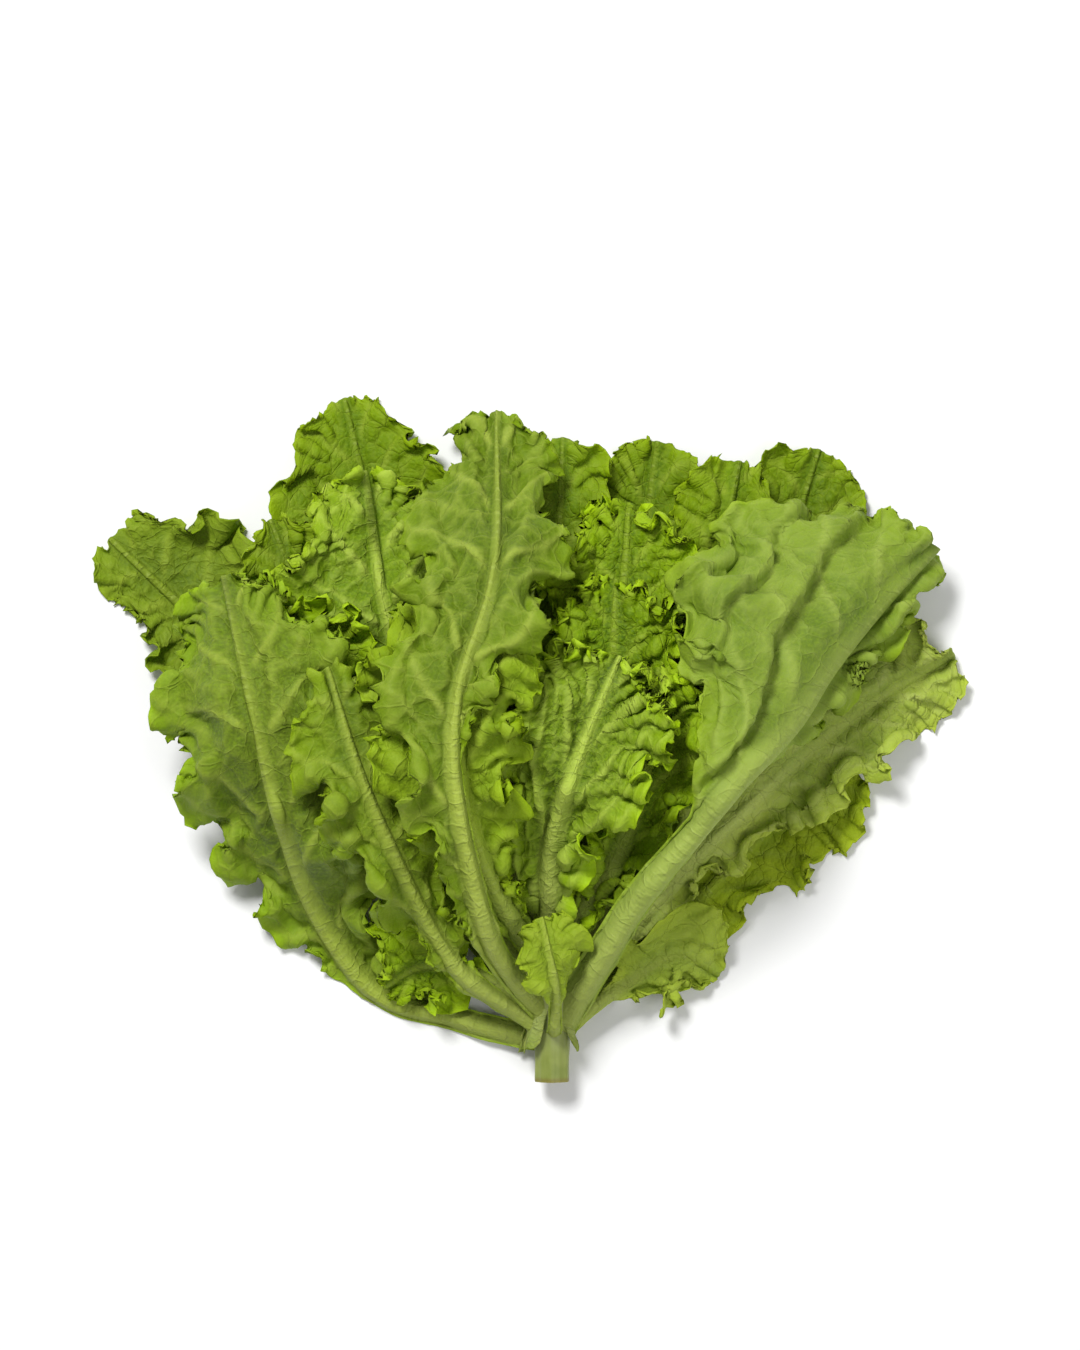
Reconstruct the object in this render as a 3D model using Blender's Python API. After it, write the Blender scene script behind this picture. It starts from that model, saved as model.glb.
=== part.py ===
"""A head of green leaf lettuce, cut at the butt and laid on its side with its leaves fanned out.

The head lies on the plane z = 0 with its cut stem towards -Y, its leaves fanning towards +Y and the
side that is seen facing +Z. The stem is one solid. Each leaf is one closed blade with a raised rib:
its shape is worked out flat, and then it is laid on the leaves below it like a sheet that can bend
a little. Metres throughout; the tables and the functions below work in millimetres.
"""

import math
from collections import namedtuple

import bmesh
import bpy
import numpy as np

MM = 0.001

# Driving dimensions, in millimetres
BLADE_THICK = 0.9
CLEARANCE = 1.0  # between a leaf and what it lies on
RIB_HALF_WIDTH = 5.0  # at the stalk of a leaf whose wing reaches WING
RIB_HEIGHT = 3.4
WING = 34.0
WAVE_LENGTH = 33.0  # of the waves along a leaf's margin
SCALLOP = 0.8  # how far the margin moves in and out, as a share of its waves' height
SWEEP = 0.3  # how far a blade's margin lags behind its rib, as a share of the half width
PRESS = 2.0  # how much the head's weight flattens a leaf on the surface

# A leaf is a grid of points: rows from stalk to tip, columns from its left margin to its right one
LARGE_GRID = (24, 9)
SMALL_GRID = (17, 7)
RIB_SHARE = 0.25  # the share of the columns that the rib takes

# What has been laid is kept as a height map in square cells
CELL = 2.0
PILE_LOW = (-230.0, -90.0)
PILE_CELLS = (230, 200)
TAUTNESS = 12  # rounds of evening out, so more makes a stiffer leaf

# Sections of the stem from its cut end to its tip: place along Y, half width, half height and the
# height of the middle. The tip lies hidden among the leaves.
STEM_SECTIONS = (
    (-28.0, 5.9, 5.9, 10.0),
    (-27.2, 6.3, 6.3, 10.0),
    (-14.0, 6.4, 6.5, 10.2),
    (-5.0, 7.1, 8.8, 11.2),
    (4.0, 7.6, 10.4, 12.4),
    (14.0, 6.8, 9.0, 13.2),
    (28.0, 5.2, 6.2, 14.6),
    (40.0, 3.6, 4.0, 15.8),
    (48.0, 1.6, 1.8, 16.2),
)
STEM_SIDES = 20
STEM_COLOUR = 0x909B54

# One row for each leaf, from the bottom of the pile to the top; the stem is laid before STEM_BEFORE.
# path: the rib seen from above, from where its stalk leaves the stem. start: the height of the
# stalk's underside there. halves: the reach of the left and the right wing at their widest. left,
# right: the slope at which each wing leaves the rib, and its bend, in degrees, up positive. crest,
# tip: how high the rib arches and where it ends. wave: the height of the margin's waves. stalks: the
# shares of the length where the left and the right wing begin. back_up: the ribbed back faces up. colour: sRGB.
STEM_BEFORE = "heart_leaf"
Leaf = namedtuple(
    "Leaf", "name path start halves left right crest tip wave stalks seed back_up large colour")
LEAVES = (
    Leaf("under_leaf_right", ((11, 0), (44, 28), (78, 62), (112, 91)), 1, (38, 24),
         (4, 18), (4, 18), 0, 6, 4.5, (0.10, 0.10), 1, False, True, 0x8A982D),
    Leaf("under_leaf_far_left", ((-11, 6), (-50, 50), (-106, 116), (-164, 172)), 1, (22, 44),
         (4, 16), (6, 20), 2, 8, 4.5, (0.10, 0.10), 2, True, True, 0x7F8F3A),
    Leaf("under_leaf_top_left", ((-10, 24), (-34, 90), (-62, 164), (-77, 224)), 4, (38, 34),
         (5, 18), (5, 18), 0, 8, 4.0, (0.08, 0.08), 3, False, True, 0x778E2B),
    Leaf("under_leaf_top_right", ((11, 16), (44, 80), (80, 148), (99, 205)), 3, (32, 38),
         (5, 18), (5, 18), 0, 8, 4.0, (0.08, 0.08), 4, False, True, 0x668115),
    Leaf("under_leaf_top", ((5, 38), (14, 100), (32, 162), (39, 208)), 5, (31, 31),
         (5, 18), (5, 18), 0, 6, 4.0, (0.06, 0.06), 5, False, True, 0x668115),
    Leaf("side_leaf_right", ((11, 9), (60, 62), (107, 103), (149, 129)), 7, (32, 24),
         (8, 16), (8, 22), 2, 4, 5.0, (0.08, 0.08), 6, False, True, 0x849428),
    Leaf("side_leaf_top", ((-2, 50), (-4, 110), (2, 164), (4, 209)), 8, (26, 26),
         (5, 18), (5, 18), 3, 6, 4.0, (0.06, 0.06), 7, False, False, 0x778E2B),
    Leaf("side_leaf_top_right", ((10, 23), (32, 80), (57, 146), (69, 200)), 7, (28, 32),
         (8, 20), (8, 20), 4, 4, 4.5, (0.08, 0.08), 8, False, True, 0x7E9518),
    Leaf("side_leaf_left", ((-10, 18), (-48, 80), (-88, 144), (-103, 178)), 7, (27, 27),
         (8, 20), (8, 20), 3, 4, 4.0, (0.08, 0.08), 9, False, False, 0x728133),
    Leaf("base_leaf_right", ((10, -3), (28, 8), (46, 18), (62, 10)), 8, (19, 20),
         (8, 20), (8, 20), 3, -4, 5.0, (0.20, 0.20), 10, False, False, 0x8A982D),
    Leaf("crinkled_leaf", ((-9, 36), (-32, 85), (-58, 137), (-69, 196)), 8, (34, 34),
         (6, 18), (6, 18), 4, 2, 5.5, (0.12, 0.12), 11, True, True, 0x7B9026),
    Leaf("inner_leaf_top", ((8, 44), (14, 90), (24, 137), (28, 184)), 9, (30, 30),
         (8, 22), (8, 22), 5, 2, 5.5, (0.08, 0.08), 12, False, False, 0x7E9518),
    Leaf("inner_leaf_left", ((-10, 12), (-50, 66), (-80, 112), (-94, 146)), 12, (27, 27),
         (8, 22), (8, 22), 4, 2, 5.0, (0.06, 0.06), 13, False, False, 0x667F1C),
    Leaf("inner_leaf_middle", ((3, 50), (14, 80), (21, 115), (23, 156)), 14, (29, 29),
         (8, 24), (8, 24), 6, 2, 5.5, (0.04, 0.04), 14, False, False, 0x6C8A18),
    Leaf("heart_leaf_right", ((8, 30), (24, 56), (34, 88), (38, 124)), 14, (26, 26),
         (10, 22), (10, 22), 5, 2, 6.0, (0.0, 0.0), 15, False, False, 0x607916),
    Leaf("outer_leaf_left", ((-9, -6), (-36, -5), (-65, 4), (-87, 36), (-99, 76), (-110, 124), (-118, 157)),
         1, (36, 40), (-8, -16), (-10, -24), 4, -6, 7.0, (0.25, 0.12), 17, True, True, 0x728133),
    Leaf("base_leaf_left", ((-10, 3), (-30, 12), (-48, 14), (-62, 6)), 12, (17, 19),
         (6, 16), (6, 16), 3, -2, 5.0, (0.26, 0.26), 23, False, False, 0x667F1C),
    Leaf("outer_leaf_middle_left", ((-11.5, -3), (-33, 13), (-48, 38), (-67, 83), (-80, 124)), 12, (20, 25),
         (-8, -20), (-8, -20), 4, -4, 6.0, (0.10, 0.10), 18, True, False, 0x7A8D22),
    Leaf("heart_leaf", ((0, 30), (0, 60), (10, 94), (24, 128)), 21, (33, 28),
         (6, 16), (6, 16), 4, 0, 6.0, (0.0, 0.0), 16, True, False, 0x5E7818),
    Leaf("wing_leaf", ((-8, 20), (-26, 56), (-34, 100), (-28, 157)), 18, (32, 25),
         (-4, -12), (-5, -14), 3, -2, 6.0, (0.06, 0.06), 19, True, False, 0x859E1C),
    Leaf("outer_leaf_centre", ((-7, 2), (-22, 25), (-34, 80), (-33, 115), (-21, 156), (-20, 218)),
         20, (30, 24), (-6, -18), (-4, -16), 3, -8, 6.5, (0.08, 0.42), 20, True, True, 0x93A153),
    Leaf("outer_leaf_right",
         ((9, -2), (27, 34), (48, 62), (66, 84), (86, 104), (100, 124), (119, 146), (141, 168)),
         20, (68, 13), (-6, -22), (-14, -40), 6, -8, 6.5, (0.38, 0.50), 21, True, True, 0x93A54F),
    Leaf("base_leaf", ((1, -14), (1, 0), (0, 15), (-4, 34)), 17, (14, 14),
         (-6, -20), (-6, -20), 1, 0, 4.0, (0.32, 0.32), 22, True, False, 0x859E1C),
)


def smooth_step(low, high, value):
    """0 below low, 1 above high, and a smooth ramp between."""
    share = np.clip((value - low) / (high - low), 0, 1)
    return share * share * (3 - 2 * share)


def through_points(points, count):
    """Evenly spaced points on a Catmull-Rom curve through points, and the curve's length."""
    points = np.asarray(points, float)
    held = np.vstack((2 * points[0] - points[1], points, 2 * points[-1] - points[-2]))
    share = np.linspace(0, 1, 40, endpoint=False)[:, None]
    runs = []
    for a, b, c, d in zip(held, held[1:], held[2:], held[3:]):
        runs.append(0.5 * (2 * b + (c - a) * share + (2 * a - 5 * b + 4 * c - d) * share**2
                           + (3 * b - a - 3 * c + d) * share**3))
    dense = np.vstack((*runs, points[-1:]))
    walked = np.concatenate(([0], np.cumsum(np.linalg.norm(np.diff(dense, axis=0), axis=1))))
    even = np.linspace(0, walked[-1], count)
    return np.stack([np.interp(even, walked, dense[:, k]) for k in range(2)], axis=1), walked[-1]


def rib_half_width(leaf, along):
    """Half the width of the stalk and rib, in proportion to the leaf, thinning towards the tip."""
    return RIB_HALF_WIDTH * (max(leaf.halves) / WING) ** 0.6 * (1 - 0.8 * along)


def half_widths(leaf, along):
    """How far the left and right wings reach: the stalk, then a wing that widens, then a blunt tip."""
    stalk = rib_half_width(leaf, along)
    tip = np.sqrt(1 - (np.clip(along - 0.76, 0, 1) / 0.26) ** 2)
    return [stalk * 1.05 + (half - stalk) * smooth_step(begin, 0.80, along) ** 0.7 * tip
            for half, begin in zip(leaf.halves, leaf.stalks)]


def margin_phase(leaf, along, length, side):
    """The phase of a margin's waves, uneven along the leaf and different on each side."""
    draw = np.random.default_rng(leaf.seed * 2 + (side > 0))
    start, drift, drift_rate = draw.uniform(0, 2 * math.pi), draw.uniform(0.5, 1.1), draw.uniform(1.5, 3.0)
    turns = length / WAVE_LENGTH * draw.uniform(0.9, 1.15)
    return 2 * math.pi * turns * along + start + drift * np.sin(2 * math.pi * drift_rate * along)


def wing_arc(reach, width, slope, bend):
    """How far out and up a wing is at a reach along it: an arc that starts at slope and turns by bend."""
    turned = bend * np.maximum(reach, 1e-6) / width
    out = reach * (np.sin(slope + turned) - np.sin(slope)) / turned
    up = reach * (np.cos(slope) - np.cos(slope + turned)) / turned
    return out, up


def leaf_middle(leaf, along, across):
    """The surface halfway through a flat leaf's blade, and each point's reach from the rib's middle.

    A point is found by walking the rib, then out along the wing's arc. Towards the margin the wing
    rises and falls in waves, and it lags behind the rib so that the tip is round.
    """
    rib, length = through_points(leaf.path, len(along))
    heading = np.gradient(rib, axis=0)
    heading /= np.linalg.norm(heading, axis=1)[:, None]
    aside = np.stack((heading[:, 1], -heading[:, 0]), axis=1)
    rib_height = leaf.crest * np.sin(math.pi * along) + leaf.tip * along**2

    on_left = across[None, :] < 0
    left_half, right_half = half_widths(leaf, along)
    width = np.where(on_left, left_half[:, None], right_half[:, None])
    rib_half = np.minimum(rib_half_width(leaf, along)[:, None], 0.8 * width)
    share = np.abs(across)[None, :]
    blade_share = np.clip((share - RIB_SHARE) / (1 - RIB_SHARE), 0, 1)
    reach = np.where(share < RIB_SHARE, rib_half * share / RIB_SHARE,
                     rib_half + (width - rib_half) * blade_share)

    slope = np.radians(np.where(on_left, leaf.left[0], leaf.right[0]))
    bend = np.radians(np.where(on_left, leaf.left[1], leaf.right[1]))
    out, up = wing_arc(reach, width, slope, bend)
    up = up * smooth_step(0.0, 0.35, along)[:, None]

    begin = np.where(on_left, leaf.stalks[0], leaf.stalks[1])
    grown = smooth_step(begin + 0.02, begin + 0.28, along[:, None])
    strength = leaf.wave * blade_share**1.6 * grown
    phase = np.where(on_left, margin_phase(leaf, along, length, -1)[:, None],
                     margin_phase(leaf, along, length, 1)[:, None])
    up = up + strength * np.sin(phase)
    out = out + SCALLOP * strength * np.cos(phase)
    lag = SWEEP * smooth_step(0.35, 1.0, along)[:, None] * width * share**2
    forward = 0.4 * strength * np.sin(2 * phase) - lag

    middle = np.empty((len(along), len(across), 3))
    out = np.where(on_left, -out, out)
    for axis in range(2):
        middle[..., axis] = rib[:, axis, None] + aside[:, axis, None] * out + heading[:, axis, None] * forward
    middle[..., 2] = rib_height[:, None] + up
    return middle, reach / rib_half


def thickened(leaf, along, middle, from_rib):
    """A leaf's upper and lower faces, with the rib raised on its back and a little on its front."""
    normal = np.cross(np.gradient(middle, axis=1), np.gradient(middle, axis=0))
    normal /= np.linalg.norm(normal, axis=2)[..., None]
    rib_height = RIB_HEIGHT * (max(leaf.halves) / WING) ** 0.6 * (1 - 0.85 * along) + 0.3
    bulge = np.clip(1 - from_rib**2, 0, 1) * rib_height[:, None]
    back, front = BLADE_THICK / 2 + bulge, BLADE_THICK / 2 + 0.25 * bulge
    above, below = (back, front) if leaf.back_up else (front, back)
    return middle + normal * above[..., None], middle - normal * below[..., None]


def facet_samples(grid, steps=8):
    """Points on the two triangles that each of a grid's quads is split into."""
    share = np.linspace(0, 1, steps)
    s, t = (values.ravel()[:, None] for values in np.meshgrid(share, share, indexing="ij"))
    a, b, c, d = (corners[:, :, None] for corners in
                  (grid[:-1, :-1], grid[1:, :-1], grid[:-1, 1:], grid[1:, 1:]))
    return (a * (1 - np.maximum(s, t)) + d * np.minimum(s, t)
            + b * np.clip(s - t, 0, 1) + c * np.clip(t - s, 0, 1))


def of_neighbours(values, pick):
    """Each value replaced by the pick, such as the largest, of itself and the eight round it."""
    rows, columns = values.shape
    padded = np.pad(values, 1, mode="edge")
    return pick([padded[i:i + rows, j:j + columns] for i in range(3) for j in range(3)], axis=0)


class Pile:
    """The height of what has been laid so far, seen from above."""

    def __init__(self):
        self.height = np.full(PILE_CELLS, -PRESS)

    def cells(self, points):
        cell = np.floor((points[..., :2] - PILE_LOW) / CELL).astype(int)
        cell = np.clip(cell, 0, np.array(PILE_CELLS) - 1)
        return cell[..., 0], cell[..., 1]

    def rise_needed(self, lower):
        """How far each point of a lower face must rise, or may sink, for its facets to clear the pile."""
        ground = of_neighbours(self.height, np.max)
        ground = np.where(ground > 0, ground + CLEARANCE, ground)
        points = facet_samples(lower)
        need = (ground[self.cells(points)] - points[..., 2]).max(axis=2)
        rise = np.full(lower.shape[:2], -np.inf)
        rows, columns = need.shape
        for i, j in ((0, 0), (0, 1), (1, 0), (1, 1)):
            corner = rise[i:i + rows, j:j + columns]
            np.maximum(corner, need, out=corner)
        return rise

    def add(self, upper):
        points = facet_samples(upper)
        np.maximum.at(self.height, self.cells(points), points[..., 2])


def lay(leaf, along, across, pile):
    """A leaf's upper and lower faces as it lies on the pile: a taut sheet held by what it touches."""
    middle, from_rib = leaf_middle(leaf, along, across)
    _, lower = thickened(leaf, along, middle, from_rib)
    touching = pile.rise_needed(lower)
    rise = touching
    for _ in range(TAUTNESS):
        rise = np.maximum(touching, of_neighbours(rise, np.mean))
        rise[0] = np.maximum(touching[0], leaf.start - lower[0, :, 2].min())
    middle[..., 2] += rise

    # The raised sheet's own slopes turn its faces a little, so what they now touch lifts them again
    _, lower = thickened(leaf, along, middle, from_rib)
    middle[..., 2] += of_neighbours(np.clip(pile.rise_needed(lower), 0, None), np.max)
    upper, lower = thickened(leaf, along, middle, from_rib)
    flattened = np.clip(-lower[..., 2], 0, None)
    upper[..., 2] += flattened
    lower[..., 2] += flattened
    pile.add(upper)
    return upper, lower


def new_object(name, mesh, colour):
    """An object with a material of its own from a mesh in millimetres; the bmesh is used up."""
    bmesh.ops.scale(mesh, vec=(MM, MM, MM), verts=mesh.verts)
    data = bpy.data.meshes.new(name)
    mesh.to_mesh(data)
    mesh.free()
    made = bpy.data.objects.new(name, data)
    bpy.context.scene.collection.objects.link(made)
    material = bpy.data.materials.new(name)
    material.use_nodes = True
    shader = material.node_tree.nodes["Principled BSDF"].inputs
    srgb = np.array([colour >> 16 & 255, colour >> 8 & 255, colour & 255]) / 255
    linear = np.where(srgb > 0.04045, ((srgb + 0.055) / 1.055) ** 2.4, srgb / 12.92)
    shader["Base Color"].default_value = (*linear, 1)
    shader["Roughness"].default_value = 0.5
    shader["Metallic"].default_value = 0.0
    data.materials.append(material)
    data.shade_smooth()
    data.set_sharp_from_angle(angle=math.radians(50))
    return made


def leaf_object(leaf, upper, lower):
    """A leaf's closed solid: both faces split alike into triangles, and a narrow wall round its edge."""
    rows, columns = upper.shape[:2]
    mesh = bmesh.new()
    top = [[mesh.verts.new(point) for point in row] for row in upper]
    bottom = [[mesh.verts.new(point) for point in row] for row in lower]
    for i in range(rows - 1):
        for j in range(columns - 1):
            for face, turn in ((top, 1), (bottom, -1)):
                a, b, c, d = face[i][j], face[i + 1][j], face[i][j + 1], face[i + 1][j + 1]
                mesh.faces.new((a, c, d)[::turn])
                mesh.faces.new((a, d, b)[::turn])
    rim = ([(i, 0) for i in range(rows)] + [(rows - 1, j) for j in range(1, columns)]
           + [(i, columns - 1) for i in range(rows - 2, -1, -1)] + [(0, j) for j in range(columns - 2, 0, -1)])
    for (i, j), (k, m) in zip(rim, rim[1:] + rim[:1]):
        mesh.faces.new((top[i][j], top[k][m], bottom[k][m], bottom[i][j]))
    return new_object(leaf.name, mesh, leaf.colour)


def stem_rings():
    """The stem's sections as rings of points, anticlockwise seen from the cut end."""
    turn = np.linspace(0, 2 * math.pi, STEM_SIDES, endpoint=False)
    return np.array([np.stack((half_width * np.cos(turn), np.full(STEM_SIDES, y),
                               middle + half_height * np.sin(turn)), axis=1)
                     for y, half_width, half_height, middle in STEM_SECTIONS])


def stem_object(rings):
    """The stem's closed solid, with its flat cut face at the first ring."""
    mesh = bmesh.new()
    rings = [[mesh.verts.new(point) for point in ring] for ring in rings]
    for ring, following in zip(rings, rings[1:]):
        for k in range(STEM_SIDES):
            after = (k + 1) % STEM_SIDES
            mesh.faces.new((ring[k], following[k], following[after], ring[after]))
    mesh.faces.new(rings[0])
    mesh.faces.new(rings[-1][::-1])
    return new_object("stem", mesh, STEM_COLOUR)


def stand_on_centre(objects):
    """Move the meshes so that the box round them all is centred on Z and stands on z = 0."""
    corners = np.array([vertex.co for made in objects for vertex in made.data.vertices])
    low, high = corners.min(axis=0), corners.max(axis=0)
    shift = np.array((-(low[0] + high[0]) / 2, -(low[1] + high[1]) / 2, -low[2]))
    for made in objects:
        for vertex in made.data.vertices:
            vertex.co = np.array(vertex.co) + shift


def main():
    for old in list(bpy.data.objects):
        bpy.data.objects.remove(old)
    pile = Pile()
    made = []
    for leaf in LEAVES:
        if leaf.name == STEM_BEFORE:
            rings = stem_rings()
            made.append(stem_object(rings))
            pile.add(rings[:, :STEM_SIDES // 2 + 1])
        rows, columns = LARGE_GRID if leaf.large else SMALL_GRID
        along = np.linspace(0, 1, rows)
        across = np.linspace(-1, 1, columns)
        upper, lower = lay(leaf, along, across, pile)
        made.append(leaf_object(leaf, upper, lower))
    stand_on_centre(made)


main()
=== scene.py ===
"""The looks of a head of green leaf lettuce, laid on its side with its leaves fanned out.

Each leaf is worked out flat, in millimetres from the middle of the crown, and laid on the leaves under
it, from the bottom of the pile to the top. Its margin is then frilled and its blade veined and
blistered, and it is moved to its place in the model, in metres.
"""
import math
from collections import namedtuple

import bpy
import numpy as np
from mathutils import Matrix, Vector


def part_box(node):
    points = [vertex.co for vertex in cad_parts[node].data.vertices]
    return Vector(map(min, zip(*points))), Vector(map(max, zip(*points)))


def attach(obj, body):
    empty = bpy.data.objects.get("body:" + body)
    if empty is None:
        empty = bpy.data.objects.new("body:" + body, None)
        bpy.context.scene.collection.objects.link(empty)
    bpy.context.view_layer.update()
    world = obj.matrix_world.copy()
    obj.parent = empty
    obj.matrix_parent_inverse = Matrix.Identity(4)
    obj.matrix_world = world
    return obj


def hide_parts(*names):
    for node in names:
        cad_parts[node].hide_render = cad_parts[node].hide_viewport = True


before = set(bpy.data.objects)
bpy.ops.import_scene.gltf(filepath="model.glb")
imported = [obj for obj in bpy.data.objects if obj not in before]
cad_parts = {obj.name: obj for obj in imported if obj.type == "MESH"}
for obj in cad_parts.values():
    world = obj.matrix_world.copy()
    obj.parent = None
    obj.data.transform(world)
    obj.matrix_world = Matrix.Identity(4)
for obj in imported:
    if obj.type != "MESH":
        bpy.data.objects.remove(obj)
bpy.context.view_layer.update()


# The head lies on a plain pale table, under a wide soft light from beyond its tips and the even light
# of a white room. A long lens looks straight down on it.
TABLE_REACH = 4.0
VIEW_CENTRE = (0.003, 0.023)
VIEW_TALL = 0.486  # what the picture's tall side takes in at LEAF_LEVEL
LEAF_LEVEL = 0.045
CAMERA_RISE = 1.5
SENSOR = 36.0  # mm

camera_data = bpy.data.cameras.new("camera")
camera_data.sensor_fit = "VERTICAL"
camera_data.sensor_width = camera_data.sensor_height = SENSOR
camera_data.lens = SENSOR * CAMERA_RISE / VIEW_TALL
camera = bpy.data.objects.new("camera", camera_data)
camera.location = (*VIEW_CENTRE, LEAF_LEVEL + CAMERA_RISE)
bpy.context.scene.collection.objects.link(camera)
bpy.context.scene.camera = camera
bpy.context.scene.view_settings.view_transform = "Standard"

table_mesh = bpy.data.meshes.new("table_top")
table_corners = [(x * TABLE_REACH, y * TABLE_REACH, 0) for x, y in ((-1, -1), (1, -1), (1, 1), (-1, 1))]
table_mesh.from_pydata(table_corners, [], [(0, 1, 2, 3)])
table_top = bpy.data.objects.new("table_top", table_mesh)
bpy.context.scene.collection.objects.link(table_top)
table_white = bpy.data.materials.new("table_white")
table_white.use_nodes = True
table_white.node_tree.nodes["Principled BSDF"].inputs["Base Color"].default_value = (0.93, 0.93, 0.93, 1)
table_white.node_tree.nodes["Principled BSDF"].inputs["Roughness"].default_value = 0.9
table_mesh.materials.append(table_white)

room = bpy.data.worlds.new("white_room")
room.use_nodes = True
room.node_tree.nodes["Background"].inputs["Color"].default_value = (1, 1, 1, 1)
room.node_tree.nodes["Background"].inputs["Strength"].default_value = 0.30
bpy.context.scene.world = room

for name, place, size, power in (("window", (-0.52, 0.90, 1.45), 0.50, 31.0),
                                 ("reflector", (0.9, -0.6, 1.2), 1.2, 8.0)):
    light = bpy.data.lights.new(name, "AREA")
    light.size = size
    light.energy = power
    lamp = bpy.data.objects.new(name, light)
    lamp.location = place
    lamp.rotation_mode = "QUATERNION"
    towards = -lamp.location.copy()
    lamp.rotation_quaternion = towards.to_track_quat("-Z", "Y")
    bpy.context.scene.collection.objects.link(lamp)


# The five lowest leaves, four of them front up, lie on the table under all the rest, and mostly their
# tips look out. Each is one thin blade on a fleshy rib, which widens into the stalk that grows from
# the crown.
MM = 0.001
RIB_HALF_WIDTH = 5.0  # at the stalk of a leaf whose wing reaches WING
RIB_HEIGHT = 3.4
WING = 34.0
WAVE_LENGTH = 33.0  # of the widest waves along a margin
SCALLOP = 0.8  # how far the margin moves in and out, as a share of its waves' height
SWEEP = 0.3  # how far a blade's margin lags behind its rib, as a share of the half width
RIB_SHARE = 0.25  # the share of a leaf's columns that its rib takes

LAID_THICK = 0.9  # a blade's thickness, and the gap under it, when the leaves are laid
LAID_GAP = 1.0
PRESS = 2.0  # how much the head's weight flattens a leaf on the table
LARGE_GRID = (24, 9)  # the rows and columns that a leaf is laid with
SMALL_GRID = (17, 7)
TAUTNESS = 12  # rounds of evening out, so more makes a stiffer leaf
LAID_STEPS = 8  # samples along a facet's edge when a leaf is laid
FINE_STEPS = 4
PILE_LOW = (-230.0, -90.0)
PILE_SIZE = (460.0, 400.0)
LAID_CELL = 2.0
FINE_CELL = 1.25

BLADE_THICK = 0.55
BACK_BLOOM = 0x94A44A  # the grey green of a leaf's waxy back
RUNG_PALE = 0xACBC60
STALK_PALE = 0x9CA852  # the foot of a stalk
FINE_GAP = 0.3
SINK_MOST = 5.0
WIDE_ENOUGH = 26.0  # a narrower leaf has lower frills
FOLD_GAP = 19.0
FOLD_STEEP = 0.2  # the share of a fold that its steep side takes
SPREAD_ROUNDS = 6
THIN_LEAST = 0.35  # how high a leaf's upper face stays above the table
NET_SIDE = 64  # the net of veins repeats after this many cells
ROOT_SHARE = 0.16  # the share of a leaf's length that bends down to the crown
ROOT_BACK = 6.0
ROOT_DEEP = 2.2

# Sections of the stem from its cut end to its tip: place along Y, half width, half height and the
# height of the middle
STEM_SECTIONS = np.array((
    (-28.0, 5.9, 5.9, 10.0),
    (-27.2, 6.3, 6.3, 10.0),
    (-14.0, 6.4, 6.5, 10.2),
    (-5.0, 7.1, 8.8, 11.2),
    (4.0, 7.6, 10.4, 12.4),
    (14.0, 6.8, 9.0, 13.2),
    (28.0, 5.2, 6.2, 14.6),
    (40.0, 3.6, 4.0, 15.8),
    (48.0, 1.6, 1.8, 16.2),
))
stem_low, stem_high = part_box("stem")
CROWN = np.array(((stem_low[0] + stem_high[0]) / 2, stem_low[1] - STEM_SECTIONS[0, 0] * MM, 0))

# name to back_up say how a leaf grows and lies. path: the rib seen from above. start: the height of
# its stalk. halves: the reach of its left and right wings. left, right: each wing's slope at the rib,
# and its bend, in degrees. crest, tip: the rib's arch and end. wave: the margin's widest waves. stalks:
# where the wings begin, as shares of the length. back_up: the ribbed back faces up.
Leaf = namedtuple("Leaf", "name path start halves left right crest tip wave stalks seed back_up large")

# How a leaf looks close by. step: the mesh's spacing. frills: the length and height of the margin's
# finer waves. curl: how far these lean over, as a share of their length. teeth, vein, blister, pleat:
# heights. lean: how far along the leaf a side vein runs for each step out. vein_gap: between side
# veins. cell: the width of a blister. Colours are sRGB.
Skin = namedtuple(
    "Skin", "slot blade margin rib step frills curl teeth lean vein_gap vein cell blister pleat")


def smooth_step(low, high, value):
    """0 below low, 1 above high, and a smooth ramp between."""
    share = np.clip((value - low) / (high - low), 0, 1)
    return share * share * (3 - 2 * share)


def on_curve(values, place):
    """Catmull-Rom values at places between samples, counted in samples from the first."""
    held = np.concatenate((2 * values[:1] - values[1:2], values, 2 * values[-1:] - values[-2:-1]))
    first = np.clip(np.floor(place).astype(int), 0, len(values) - 2)
    share = (place - first).reshape(-1, *[1] * (values.ndim - 1))
    a, b, c, d = (held[first + k] for k in range(4))
    return 0.5 * (2 * b + (c - a) * share + (2 * a - 5 * b + 4 * c - d) * share**2
                  + (3 * b - a - 3 * c + d) * share**3)


def along_path(path, along):
    """Points at shares of the length of a smooth curve through a path, and its length."""
    points = np.array(path, float)
    dense = on_curve(points, np.linspace(0, len(points) - 1, 40 * (len(points) - 1) + 1))
    walked = np.concatenate(([0], np.cumsum(np.linalg.norm(np.diff(dense, axis=0), axis=1))))
    at = along * walked[-1]
    return np.stack([np.interp(at, walked, dense[:, k]) for k in range(2)], axis=1), walked[-1]


def rib_half_width(leaf, along):
    """Half the width of the stalk and rib, in proportion to the leaf, thinning towards the tip."""
    return RIB_HALF_WIDTH * (max(leaf.halves) / WING) ** 0.6 * (1 - 0.8 * along)


def half_widths(leaf, along):
    """How far the left and right wings reach: the stalk, then a wing that widens, then a blunt tip."""
    stalk = rib_half_width(leaf, along)
    tip = np.sqrt(1 - (np.clip(along - 0.76, 0, 1) / 0.26) ** 2)
    return [stalk * 1.05 + (half - stalk) * smooth_step(begin, 0.80, along) ** 0.7 * tip
            for half, begin in zip(leaf.halves, leaf.stalks)]


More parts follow.
